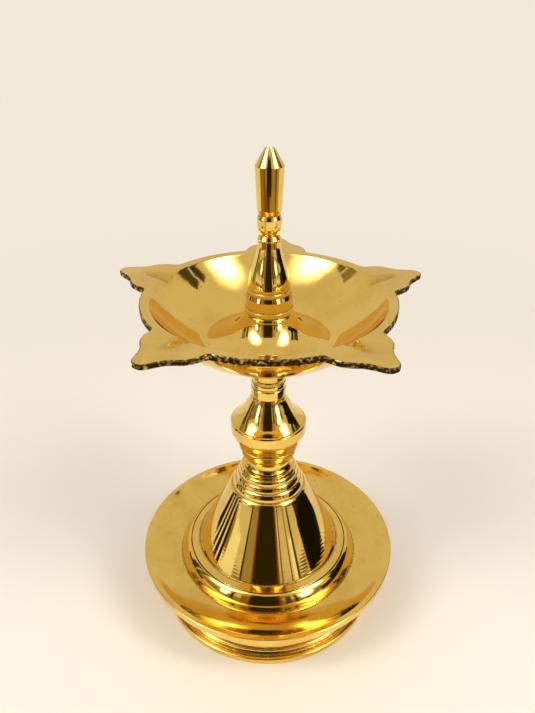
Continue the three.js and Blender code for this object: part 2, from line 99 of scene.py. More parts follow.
# One side of a beak: across from its middle line, and out from the lamp's axis
BEAK_SIDE = (
    (13.8, 40.09), (12.7, 40.46), (11.85, 41.0), (11.4, 41.9), (11.15, 43.2), (10.75, 44.8),
    (9.7, 47.0), (7.9, 48.9), (5.7, 50.8), (4.45, 52.7), (3.55, 54.5), (2.6, 56.3), (1.35, 57.5),
)
CHANNEL_START = 30  # the wick channels, and the keels under them, lie further out than this
CHANNEL_END = 49.5
CHANNEL_SLOPE = 0.667
CHANNEL_NARROWING = 0.317  # half width lost for each millimetre further out
CHANNEL_ROUND = 0.05  # square of the rounding along the bottom
KEEL_END = 48.5
KEEL_DEPTH = 1.9  # below the rim
KEEL_SLOPE = 0.42
KEEL_WIDTH = 1.6  # as a multiple of the channel's
KEEL_ROUND = 0.3
BOSS_TOP = 126.1
BOSS_RADIUS = 8.2
# The hollow arcs of its side: how steeply each faces up at its start and end, and its radius
BOSS_TURNS = ((13.75, 63, 12.5), (63, 84, 21.3))
BOWL_TAP = 8.9  # length of the tapped bore, down from the boss's top
BORE_CHAMFER = 0.4


# Outlines


def smooth_curve(points, step=0.3):
    """Closely spaced points on a cubic spline through the given ones."""
    knots = np.array([point[:2] for point in points], float)
    at = np.concatenate([[0.0], np.cumsum(np.linalg.norm(np.diff(knots, axis=0), axis=1))])
    gap = np.diff(at)
    bend = np.zeros_like(knots)
    if len(knots) > 2:
        system = np.diag(2 * (gap[:-1] + gap[1:])) + np.diag(gap[1:-1], 1) + np.diag(gap[1:-1], -1)
        slope = np.diff(knots, axis=0) / gap[:, None]
        bend[1:-1] = np.linalg.solve(system, 6 * np.diff(slope, axis=0))
    where = np.linspace(0, at[-1], max(3, round(at[-1] / step)) + 1)
    span = np.clip(np.searchsorted(at, where, side="right") - 1, 0, len(gap) - 1)
    width = gap[span][:, None]
    low, high = (at[span + 1] - where)[:, None], (where - at[span])[:, None]
    curve = (
        bend[span] * low**3 / (6 * width)
        + bend[span + 1] * high**3 / (6 * width)
        + (knots[span] / width - bend[span] * width / 6) * low
        + (knots[span + 1] / width - bend[span + 1] * width / 6) * high
    )
    return [tuple(point) for point in curve]


def rounded(outline, rounding, least_turn=12, arc_turn=14, most_used=0.45):
    """The outline with an arc in place of each corner. A closed outline ends where it starts.
    A corner of less than least_turn degrees stays. An arc has a point about every arc_turn
    degrees, and takes up no more than a share of most_used of the sides next to it."""
    corners = [np.array(point[:2], float) for point in outline]
    result = [corners[0]]
    for before, corner, after, point in zip(corners, corners[1:], corners[2:], outline[1:]):
        size = point[2] if len(point) > 2 else rounding
        back, ahead = before - corner, after - corner
        room = most_used * min(np.linalg.norm(back), np.linalg.norm(ahead))
        back, ahead = back / np.linalg.norm(back), ahead / np.linalg.norm(ahead)
        turn = math.pi - math.acos(np.clip(back @ ahead, -1, 1))
        if size <= 0 or turn < math.radians(least_turn):
            result.append(corner)
            continue
        trim = min(size * math.tan(turn / 2), room)
        middle = corner + (back + ahead) / np.linalg.norm(back + ahead) * trim / math.sin(turn / 2)
        start, end = corner + back * trim - middle, corner + ahead * trim - middle
        steps = max(3, round(turn / math.radians(arc_turn)))
        for share in np.linspace(0, 1, steps + 1):
            arc = math.sin((1 - share) * turn) * start + math.sin(share * turn) * end
            result.append(middle + arc / math.sin(turn))
    result.append(corners[-1])
    return result


def spaced(points, step, support=0.06):
    """The points with more between them on long stretches, and one close to each stretch's end,
    so that the shading of a flat stretch isn't pulled round by the arc beside it."""
    result = [points[0]]
    for start, end in zip(points, points[1:]):
        length = np.linalg.norm(end - start)
        if length < 1e-6:
            continue
        shares = []
        if length > 6 * support:
            inner = np.linspace(0, 1, max(1, math.ceil(length / step)) + 1)[1:-1]
            shares = [support / length, *inner, 1 - support / length]
        result += [start + share * (end - start) for share in shares] + [end]
    return np.array(result)


def crevices(points, reach=0.6, deep=0.12):
    """How far each point of an outline lies in a groove or inner corner, from 0 to 1, which the
    brass paints darker as shade.
    """
    along = np.concatenate([[0.0], np.cumsum(np.linalg.norm(np.diff(points, axis=0), axis=1))])
    sides = [
        np.stack([np.interp(along + side, along, points[:, axis]) for axis in (0, 1)], axis=1)
        for side in (-reach, reach)
    ]
    chord = sides[1] - sides[0]
    away = (points - sides[0])[:, 0] * chord[:, 1] - (points - sides[0])[:, 1] * chord[:, 0]
    return np.clip(-away / np.maximum(np.linalg.norm(chord, axis=1), 1e-6) / deep, 0, 1)


# Meshes


def new_object(name, data):
    """An object of the scene that holds a mesh or a camera."""
    made = bpy.data.objects.new(name, data)
    bpy.context.scene.collection.objects.link(made)
    return made


def skin(name, rings, closed=False, marks=None, finish_of=None):
    """A piece from rings of points in millimetres round the lamp's axis, each joined to the next.
    A ring may have a whole multiple of its neighbour's points, or one point on the axis. marks
    gives each ring its values of the groove_shade_and_residue attribute, which paints shade in
    grooves and inner corners as well as residue, finish_of each ring the index of the material on
    the faces that follow it."""
    counts = [len(ring) for ring in rings]
    starts = np.concatenate([[0], np.cumsum(counts)])
    faces, finishes = [], []
    pairs = [(place, place + 1) for place in range(len(rings) - 1)]
    if closed:
        pairs.append((len(rings) - 1, 0))
    for low, high in pairs:
        facets = min(count for count in (counts[low], counts[high]) if count > 1)
        edges = []
        for place in (low, high):
            share = max(1, counts[place] // facets)
            facet = np.arange(facets)[:, None] * share + np.arange(share + 1)
            if counts[place] == 1:
                facet = np.zeros((facets, 1), int)
            edges.append((facet % counts[place] + starts[place]).tolist())
        faces += [lower + upper[::-1] for lower, upper in zip(*edges)]
        finishes += [finish_of[low] if finish_of else 0] * facets
    points = np.concatenate(rings) * MM
    points[:, 1] += LAMP_AXIS_Y
    mesh = bpy.data.meshes.new(name)
    mesh.from_pydata(points, [], faces)
    mesh.polygons.foreach_set("material_index", finishes)
    mesh.shade_smooth()
    groove_shade_and_residue = mesh.attributes.new("groove_shade_and_residue", "FLOAT", "POINT")
    if marks is not None:
        groove_shade_and_residue.data.foreach_set("value", np.concatenate(marks).astype(np.float32))
    mesh.update()
    return new_object(name, mesh)


def turned(name, outline, finish, step=0.8, relief=None):
    """A piece turned about the lamp's axis. An outline with a bore ends where it starts. step is
    the longest way between two rings. relief gives the radius at each height and angle, for what
    isn't the same all round."""
    segments = sizes().segments
    points = spaced(rounded(outline, sizes().edge_rounding / MM), step)
    closed = np.allclose(points[0], points[-1])
    if closed:
        points = points[:-1]
    # Painted shade: grooves and inner corners are darkened by how deep they lie
    marks = crevices(points)
    angles = np.linspace(0, 2 * math.pi, segments, endpoint=False)
    rings, values = [], []
    for (radius, height), mark in zip(points, marks):
        if radius < 1e-6:
            rings.append(np.array([[0.0, 0.0, height]]))
        else:
            out = relief(radius, height, angles) if relief else np.full(segments, radius)
            flat = out * np.cos(angles), out * np.sin(angles)
            rings.append(np.stack([*flat, np.full(segments, height)], axis=1))
        values.append(np.full(len(rings[-1]), mark))
    piece = skin(name, rings, closed, values)
    piece.data.materials.append(finish_named(finish))
    return piece


def thread_depth(height, angles, clearance=0.0):
    """How far a right-hand thread has risen from its root, from 0 to 1, at a height and angles."""
    share = (height / THREAD_PITCH - angles / (2 * math.pi)) % 1.0
    side = 0.5 - np.abs(share - 0.5)
    root = THREAD_ROOT / 2 - clearance / THREAD_PITCH
    flank = (1 - THREAD_CREST - THREAD_ROOT) / 2
    return np.clip((side - root) / flank, 0, 1)


def ripple(points, wavelength, seed, waves=24):
    """A smooth random field of about unit size at points in millimetres: waves in all directions,
    from two thirds of the wavelength to nearly one and a half."""
    draw = np.random.default_rng(seed)
    ways = draw.normal(size=(waves, points.shape[1]))
    ways /= np.linalg.norm(ways, axis=1)[:, None]
    pace = 2 * math.pi / (wavelength * draw.uniform(0.7, 1.5, waves))
    phase = draw.uniform(0, 2 * math.pi, waves)
    return np.cos(points @ (ways * pace[:, None]).T + phase).sum(axis=1) * math.sqrt(2 / waves)


def lower_of(first, second, blend):
    """The lower of two surfaces, faired into each other where they are less than blend apart."""
    near = np.clip(blend - np.abs(first - second), 0, None) / blend
    return np.minimum(first, second) - near**3 * blend / 6


# Bowl


def beak_edge(reach):
    """A beak's edge as angles from its middle line and radii from the lamp's axis."""
    stretch = reach / BEAK_REACH
    side = [
        (across, out if out < RIM_RADIUS else RIM_RADIUS + (out - RIM_RADIUS) * stretch)
        for across, out in BEAK_SIDE
    ]
    tip = (0.0, RIM_RADIUS + reach)
    edge = smooth_curve([*side, tip, *((-across, out) for across, out in reversed(side))], 0.1)
    across, out = np.array(edge).T
    angles = np.arctan2(-across, out)
    order = np.argsort(angles)
    return angles[order], np.hypot(across, out)[order]


def bowl_edge(columns):
    """Evenly spaced points on the bowl's whole edge, and the outward directions there."""
    angles = np.linspace(0, 2 * math.pi, 360 * 40, endpoint=False)  # 40 to a degree
    radii = np.full(len(angles), RIM_RADIUS)
    for number, angle in enumerate(BEAK_ANGLES):
        off, radius = beak_edge(BACK_BEAK_REACH if number == BACK_BEAK else BEAK_REACH)
        from_beak = (angles - math.radians(angle) + math.pi) % (2 * math.pi) - math.pi
        here = np.abs(from_beak) < off[-1]
        radii[here] = np.maximum(radii[here], np.interp(from_beak[here], off, radius))
    points = np.stack([radii * np.cos(angles), radii * np.sin(angles)], axis=1)
    steps = np.linalg.norm(np.roll(points, -1, axis=0) - points, axis=1)
    along = np.concatenate([[0.0], np.cumsum(steps)])
    where = np.linspace(0, along[-1], columns, endpoint=False)
    loop = np.vstack([points, points[:1]])
    edge = np.stack([np.interp(where, along, loop[:, axis]) for axis in (0, 1)], axis=1)
    run = np.roll(edge, -1, axis=0) - np.roll(edge, 1, axis=0)
    out = np.stack([run[:, 1], -run[:, 0]], axis=1) / np.linalg.norm(run, axis=1)[:, None]
    return edge, out


def beak_places(x, y):
    """For each beak, how far points lie across from its middle line and out along it."""
    for angle in np.radians(BEAK_ANGLES):
        sine, cosine = math.sin(angle), math.cos(angle)
        yield np.abs(y * cosine - x * sine), x * cosine + y * sine


def boss_side(step=2.2):
    """The boss's side, two hollow arcs that flare out into the floor, as (radius, height), with
    a point about every step degrees."""
    radius, height = BOSS_RADIUS, BOSS_TOP
    side = []
    for start, end, bend in BOSS_TURNS:
        turns = np.radians(np.linspace(start, end, max(4, round((end - start) / step))))
        radii = radius + bend * (math.cos(turns[0]) - np.cos(turns))
        heights = height - bend * (np.sin(turns) - math.sin(turns[0]))
        side += list(zip(radii, heights))[1:]
        radius, height = side[-1]
    return side


def round_height(x, y, radius):
    """Height of one of the bowl's two rounds."""
    return BOWL_CENTRE - np.sqrt(np.clip(radius**2 - x**2 - y**2, 0.01, None))


def bowl_top(x, y):
    """Height of the bowl's upper face: the flat rim and beaks, the round inside, the channels."""
    flat = np.full(len(x), RIM_TOP)
    height = lower_of(flat, round_height(x, y, BOWL_INNER), WALL_FAIRING)
    for across, out in beak_places(x, y):
        half_width = (CHANNEL_END - out) * CHANNEL_NARROWING
        groove = RIM_TOP - CHANNEL_SLOPE * (half_width - np.sqrt(across**2 + CHANNEL_ROUND))
        faired = lower_of(height, groove, CHANNEL_FAIRING)
        height = np.where(out > CHANNEL_START, faired, height)
    return height


def bowl_under(x, y):
    """Height of the bowl's lower face: the round outside, the beaks' undersides, the keels."""
    flat = RIM_TOP - np.interp(np.hypot(x, y), *zip(*RIM_THICKNESS))
    height = lower_of(flat, round_height(x, y, BOWL_OUTER), UNDER_FAIRING)
    for across, out in beak_places(x, y):
        half_width = (KEEL_END - out) * CHANNEL_NARROWING * KEEL_WIDTH
        side = half_width - np.sqrt(across**2 + KEEL_ROUND)
        faired = lower_of(height, RIM_TOP - KEEL_DEPTH - KEEL_SLOPE * side, UNDER_FAIRING)
        height = np.where(out > CHANNEL_START, faired, height)
    return height


def channel_dark_reflection(x, y, strength=0.5, start=37, rise=3, fall=4, width=2.0):
    """A painted dark reflection along the bottom of each wick channel. It begins at start, is full
    after rise, and ends with the channel over the length of fall."""
    mark = np.zeros(len(x))
    for across, out in beak_places(x, y):
        along = np.clip((out - start) / rise, 0, 1) * np.clip((CHANNEL_END - out) / fall, 0, 1)
        mark = np.maximum(mark, strength * along * np.exp(-((across / width) ** 2)))
    return mark


def build_bowl(columns, edge_relief):
    """The bowl's mesh, from the bore's lower end up, round the shell and back to its seat. Its
    second material is on the upright edge, and its first on all the rest."""
    columns -= columns % 4  # the bore has a quarter as many points round it
    edge, out = bowl_edge(columns)
    angles = np.arctan2(edge[:, 1], edge[:, 0])
    few = angles[::4]
    seat, tap_foot = BOWL_BOX[0].z / MM, BOSS_TOP - BOWL_TAP
    major = THREAD_MAJOR + SLIP_GAP
    rings, marks, finishes = [], [], []

    def add(ring, mark=0.0, finish=0):
        """Adds a ring, its value of painted shade and residue, and the material of the faces that
        follow it.
        """
        rings.append(ring)
        marks.append(np.broadcast_to(mark, len(ring)))
        finishes.append(finish)

    def level(radius, height, around):
        """Adds a level ring, whose radius may differ from angle to angle."""
        flat = radius * np.cos(around), radius * np.sin(around)
        add(np.stack([*flat, np.full(len(around), height)], axis=1))

    def face(places, height_of):
        """Adds a ring that lies on the upper or the lower face."""
        heights = height_of(places[:, 0], places[:, 1])
        # The upper face gets a painted dark reflection along each wick channel
        mark = channel_dark_reflection(places[:, 0], places[:, 1]) if height_of is bowl_top else 0.0
        add(np.column_stack([places, heights]), mark)

    # Bore, from the seat up through the tapped length, whose thread cuts in over 0.3 mm
    for height in (seat + BORE_CHAMFER, tap_foot - 0.05):
        level(major, height, few)
    for height in np.arange(tap_foot, BOSS_TOP - BORE_CHAMFER - 0.05, TAP_STEP):
        ease = min(1, (height - tap_foot) / 0.3)
        left = (1 - thread_depth(height, few, FLANK_GAP)) * THREAD_DEPTH * ease
        level(major - left, height, few)
    level(major, BOSS_TOP - BORE_CHAMFER, few)
    level(major + BORE_CHAMFER, BOSS_TOP, few)
    level(major + BORE_CHAMFER + 0.1, BOSS_TOP, few)
    # Boss with its rounded top, its flare, and the round of the floor and wall
    for inward, drop in ((0.45, 0), (0.35, 0), (0.2, 0.04), (0.08, 0.14), (0.02, 0.28)):
        level(BOSS_RADIUS - inward, BOSS_TOP - drop, angles)
    side = boss_side()
    for radius, height in side[:-1]:
        level(radius, height, angles)
    ways = np.stack([np.cos(angles), np.sin(angles)], axis=1)
    # The rings close up where the wall turns into the flat rim
    last_round = 41.0
    radii = [
        *np.arange(side[-1][0] + 0.7, 36, 1.1), *np.arange(36.2, 38, 0.45),
        *np.arange(38.1, 40.9, 0.17), last_round,
    ]
    for radius in radii:
        face(ways * radius, bowl_top)
    # The flat rim and beaks out to the edge's rounding
    inset = edge - out * TOP_EDGE
    for share in np.linspace(0, 1, 27)[1:]:
        face(ways * last_round * (1 - share) + inset * share, bowl_top)
    # The upright cast edge, rough as it came from the sand
    finishes[-1] = 1
    for turn in np.radians((25, 50, 72, 90)):
        ring = edge - out * TOP_EDGE * (1 - math.sin(turn))
        height = np.full(columns, RIM_TOP - TOP_EDGE * (1 - math.cos(turn)))
        add(np.column_stack([ring, height]), finish=1)
    under = bowl_under(edge[:, 0], edge[:, 1])
    for share in np.linspace(0, 1, 8)[1:]:
        height = (RIM_TOP - TOP_EDGE) * (1 - share) + (under + LOWER_EDGE) * share
        # Lumps of 2.6 and 1.3 mm that only go inward, and are shallower towards the corners
        place = np.column_stack([edge, height])
        lumps = 0.65 * ripple(place * (1, 1, 1.3), 2.6, seed=3) + 0.45 * ripple(place, 1.3, seed=4)
        depth = edge_relief * math.sin(math.pi * min(1, share * 1.15) * 0.87)
        relief = depth * np.clip(lumps - 0.9, -2, 0)
        add(np.column_stack([edge + out * relief[:, None], height]), mark=0.25, finish=1)
    for turn in np.radians((35, 65, 90)):
        ring = edge - out * LOWER_EDGE * (1 - math.cos(turn))
        height = under + LOWER_EDGE * (1 - math.sin(turn))
        add(np.column_stack([ring, height]), finish=1)
    finishes[-1] = 0
    # Underside, back in to the seat and the bore
    inset = edge - out * LOWER_EDGE
    first_round = 41.2
    for share in np.linspace(0, 1, 15)[1:-1]:
        face(inset * (1 - share) + ways * first_round * share, bowl_under)
    for radius in (first_round, *np.arange(40.9, 38, -0.35), *np.arange(37.4, 6, -1.5), 5.6):
        face(ways * radius, bowl_under)
    for radius in (5.4, 5.3):
        level(radius, seat, angles)
    level(major + BORE_CHAMFER, seat, few)
    shell = skin("bowl_shell", rings, True, marks, finishes)
    shell.data.flip_normals()  # its rings run the other way round from a turned piece's
    return shell


# Finishes


def linear(hex_colour):
    """An sRGB hex colour as linear values with alpha."""
    channels = [int(hex_colour.lstrip("#")[place : place + 2], 16) / 255 for place in (0, 2, 4)]
    return (*(c / 12.92 if c <= 0.04045 else ((c + 0.055) / 1.055) ** 2.4 for c in channels), 1.0)


def add_node(tree, kind, inputs=(), **settings):
    """Adds a node. inputs are pairs of an input's name or number and what it gets: a value, an
    output, or a node for its first output. settings are the node's own properties."""
    node = tree.nodes.new(kind)
    for name, value in settings.items():
        setattr(node, name, value)
    for name, value in inputs:
        if isinstance(value, bpy.types.Node):
            value = value.outputs[0]
        if isinstance(value, bpy.types.NodeSocket):
            tree.links.new(value, node.inputs[name])
        else:
            node.inputs[name].default_value = value
    return node


def new_material(name):
    """A material with no nodes yet, and its node tree."""
    material = bpy.data.materials.new(name)
    material.use_nodes = True
    material.node_tree.nodes.clear()
    return material, material.node_tree


def brass(name, across, polish, line_spacing, line_depth, wave, pits, oxide):
    """Yellow brass. across is the way that its fine lines follow each other: "height" on upright
    faces, "radius" on dished ones. Spacings and depths are in millimetres. wave is how far the
    surface strays from true. pits is how strongly its pores show, and oxide how much casting skin
    is left on it, both from 0 to 1."""
    colours = bpy.context.scene.lamp_colours
    material, tree = new_material(name)
    place = add_node(tree, "ShaderNodeTexCoord").outputs["Object"]
    centred = add_node(
        tree, "ShaderNodeVectorMath", [(0, place), (1, (0, LAMP_AXIS_Y, 0))], operation="SUBTRACT"
    )
    flat = add_node(
        tree, "ShaderNodeVectorMath", [(0, centred), (1, (1, 1, 0))], operation="MULTIPLY"
    )
    radius = add_node(tree, "ShaderNodeVectorMath", [(0, flat)], operation="LENGTH")
    parts = add_node(tree, "ShaderNodeSeparateXYZ", [(0, place)])
    along = parts.outputs["Z"] if across == "height" else radius.outputs["Value"]
    # Lines from the lathe or the buff: noise in one direction, whose scale is their spacing
    lines = add_node(
        tree, "ShaderNodeTexNoise",
        [("W", along), ("Scale", 1 / (line_spacing * MM)), ("Detail", 3.0), ("Roughness", 0.6)],
        noise_dimensions="1D",
    )
    # The slow waves that casting and hand buffing leave, about 11 mm long
    waves = add_node(
        tree, "ShaderNodeTexNoise", [("Vector", place), ("Scale", 1 / (11 * MM)), ("Detail", 1.5)]
    )
    # Tarnish in patches about 16 mm across, and grains of about 1 mm within them
    patches = add_node(
        tree, "ShaderNodeTexNoise",
        [("Vector", place), ("Scale", 1 / (16 * MM)), ("Detail", 5.0), ("Roughness", 0.65)],
    )
    grains = add_node(
        tree, "ShaderNodeTexNoise", [("Vector", place), ("Scale", 1 / (1.1 * MM)), ("Detail", 3.0)]
    )
    # Pores lie about 4 mm apart. Real ones are near 0.1 mm, too fine to show, so these are 0.5 mm
    cells = add_node(
        tree, "ShaderNodeTexVoronoi",
        [("Vector", place), ("Scale", 1 / (4 * MM)), ("Randomness", 1.0)],
    )
    pores = add_node(
        tree, "ShaderNodeMapRange",
        [("Value", cells.outputs["Distance"]), ("From Min", 0.09), ("From Max", 0.04),
         ("To Max", pits)],
    )
    # Painted shade in the crevices, with some real old polish there, a painted dark reflection
    # along the wick channels, and what is left of the casting skin, all grainy
    groove_shade_and_residue = add_node(tree, "ShaderNodeAttribute", attribute_name="groove_shade_and_residue")
    grain = add_node(
        tree, "ShaderNodeMapRange",
        [("Value", grains.outputs["Fac"]), ("From Min", 0.3), ("From Max", 0.65),
         ("To Min", 0.2), ("To Max", 0.65)],
    )
    skin_left = add_node(
        tree, "ShaderNodeMapRange",
        [("Value", grains.outputs["Fac"]), ("From Min", 0.7), ("From Max", 0.48),
         ("To Max", oxide)],
    )
    residue_and_shade = add_node(
        tree, "ShaderNodeMath",
        [(0, groove_shade_and_residue.outputs["Fac"]), (1, grain), (2, pores)],
        operation="MULTIPLY_ADD",
    )
    dirt_and_shade = add_node(
        tree, "ShaderNodeMath", [(0, residue_and_shade), (1, skin_left)],
        operation="ADD", use_clamp=True,
    )
    patch = add_node(
        tree, "ShaderNodeMapRange",
        [("Value", patches.outputs["Fac"]), ("From Min", 0.42), ("From Max", 0.72),
         ("To Max", 0.55)],
    )
    tone = add_node(
        tree, "ShaderNodeMix",
        [("Factor", patch), (6, colours.brass), (7, colours.tarnish)], data_type="RGBA",
    )
    colour = add_node(
        tree, "ShaderNodeMix",
        [("Factor", dirt_and_shade), (6, tone.outputs[2]), (7, colours.residue_and_shade)], data_type="RGBA",
    )
    # Tarnish, pores and residue are duller than the polished metal
    dull = add_node(
        tree, "ShaderNodeMapRange",
        [("Value", patches.outputs["Fac"]), ("From Min", 0.35), ("From Max", 0.75),
         ("To Min", polish * 0.6), ("To Max", polish * 2.0)],
    )
    roughness = add_node(
        tree, "ShaderNodeMath", [(0, dirt_and_shade), (1, 0.4), (2, dull)],
        operation="MULTIPLY_ADD", use_clamp=True,
    )
    # Height in millimetres: waves and lines, and 0.02 mm less in pores, grooves and casting skin
    relief = add_node(
        tree, "ShaderNodeMath", [(0, waves.outputs["Fac"]), (1, wave)], operation="MULTIPLY"
    )
    for source, depth in ((lines, line_depth), (dirt_and_shade, -0.02)):
        relief = add_node(
            tree, "ShaderNodeMath", [(0, source), (1, depth), (2, relief)],
            operation="MULTIPLY_ADD",
        )
    bump = add_node(
        tree, "ShaderNodeBump", [("Height", relief), ("Strength", 1.0), ("Distance", MM)]
    )
    shader = add_node(
        tree, "ShaderNodeBsdfPrincipled",
        [("Base Color", colour.outputs[2]), ("Metallic", 1.0), ("Roughness", roughness),
         ("Normal", bump)],
    )
    add_node(tree, "ShaderNodeOutputMaterial", [("Surface", shader)])
    return material


# How each part of the lamp was finished, and what that gives the eye
BRASS_FINISHES = {
    # Sand cast, then buffed by hand: a mirror that wavers, with faint rings, pores and old polish
    "buffed cast brass": dict(
        across="radius", polish=0.07, line_spacing=0.9, line_depth=0.002, wave=0.16,
        pits=0.5, oxide=0.0,
    ),
    # Turned and lightly polished: true in section, but its fine lines draw out the reflections
    "turned brass": dict(
        across="height", polish=0.055, line_spacing=0.5, line_depth=0.0025, wave=0.025,
        pits=0.15, oxide=0.0,
    ),
    # Turned and mirror polished: sharp, narrow reflections
    "polished brass": dict(
        across="height", polish=0.045, line_spacing=0.8, line_depth=0.0012, wave=0.02,
        pits=0.1, oxide=0.0,
    ),
    # The bowl's edge as the sand left it: brown-black casting skin, with brass on its high spots
    "rough cast brass": dict(
        across="height", polish=0.2, line_spacing=1.5, line_depth=0.01, wave=0.15,
        pits=1.0, oxide=0.95,
    ),
}


def zinc_plate(name):
    """Bright zinc plate on a steel fastener: blue-grey, with a soft gloss and a faint mottle."""
    colours = bpy.context.scene.lamp_colours
    material, tree = new_material(name)
    place = add_node(tree, "ShaderNodeTexCoord").outputs["Object"]
    # Mottle of about 0.8 mm, which is as fine as shows
    mottle = add_node(
        tree, "ShaderNodeTexNoise", [("Vector", place), ("Scale", 1 / (0.8 * MM)), ("Detail", 4.0)]
    )
    tone = add_node(
        tree, "ShaderNodeMix",
        [("Factor", mottle.outputs["Fac"]), (6, colours.zinc), (7, linear("#9aa0a6"))],
        data_type="RGBA",
    )
    gloss = add_node(
        tree, "ShaderNodeMapRange",
        [("Value", mottle.outputs["Fac"]), ("To Min", 0.2), ("To Max", 0.45)],
    )
    bump = add_node(
        tree, "ShaderNodeBump",
        [("Height", mottle.outputs["Fac"]), ("Strength", 1.0), ("Distance", 0.01 * MM)],
    )
    shader = add_node(
        tree, "ShaderNodeBsdfPrincipled",
        [("Base Color", tone.outputs[2]), ("Metallic", 1.0), ("Roughness", gloss),
         ("Normal", bump)],
    )
    add_node(tree, "ShaderNodeOutputMaterial", [("Surface", shader)])
    return material


def vulcanised_fibre(name):
    """Vulcanised fibre, a hard pressed paper: matt brick red, with paler fibres in it."""
    colours = bpy.context.scene.lamp_colours
    material, tree = new_material(name)
    place = add_node(tree, "ShaderNodeTexCoord").outputs["Object"]
    # Fibres about 1 mm long, flat in the sheet
    stretched = add_node(
        tree, "ShaderNodeVectorMath", [(0, place), (1, (1, 1, 5))], operation="MULTIPLY"
    )
    fibres = add_node(
        tree, "ShaderNodeTexNoise",
        [("Vector", stretched), ("Scale", 1 / (1 * MM)), ("Detail", 6.0),
         ("Distortion", 1.5)],
    )
    tone = add_node(
        tree, "ShaderNodeMix",
        [("Factor", fibres.outputs["Fac"]), (6, colours.fibre), (7, linear("#b0624a"))],
        data_type="RGBA",
    )
    bump = add_node(
        tree, "ShaderNodeBump",
        [("Height", fibres.outputs["Fac"]), ("Strength", 1.0), ("Distance", 0.03 * MM)],
    )
    shader = add_node(
        tree, "ShaderNodeBsdfPrincipled",
        [("Base Color", tone.outputs[2]), ("Roughness", 0.72), ("Normal", bump)],
    )
    add_node(tree, "ShaderNodeOutputMaterial", [("Surface", shader)])
    return material


def finish_named(name):
    """One of the lamp's finishes, made when it is first asked for."""
    if name in bpy.data.materials:
        return bpy.data.materials[name]
    if name == "zinc plated steel":
        return zinc_plate(name)
    if name == "red vulcanised fibre":
        return vulcanised_fibre(name)
    return brass(name, **BRASS_FINISHES[name])


# Studio

SOFTBOX_DISTANCE = 0.9  # metres from the lamp, and the height that they face
SOFTBOX_AIM = 0.1
SOFTBOX_STRENGTH = 12.0
SOFTBOXES = (
    # name, azimuth, elevation and roll in degrees, width and height in metres
    ("left softbox", -62, 47, -28, 0.62, 1.05),
    ("right softbox", 63, 47, 0, 0.60, 1.05),
    ("low left softbox", -52, 18, -10, 0.24, 0.42),
    ("low right softbox", 46, 20, 10, 0.36, 0.5),
)
FLOOR_REACH = 6.0  # metres to each side
FILL_LIGHT = 0.54  # strength of the even light from all sides
BACKDROP_REFLECTED = 0.78  # brightness of the backdrop as the lamp reflects it
BACKDROP_EXTRA = 0.22  # added for the camera itself, which then sees it at 1

CAMERA_BACK = 0.19677  # metres in front of the lamp's axis, and above the floor
CAMERA_HEIGHT = 0.22116
CAMERA_DOWN = 29.88  # degrees
CAMERA_ROLL = 0.00484  # radians
CAMERA_LENS = 32.974  # millimetres
CAMERA_SHIFT = -1.277 / 713  # pixels across, over those of the picture's longer side

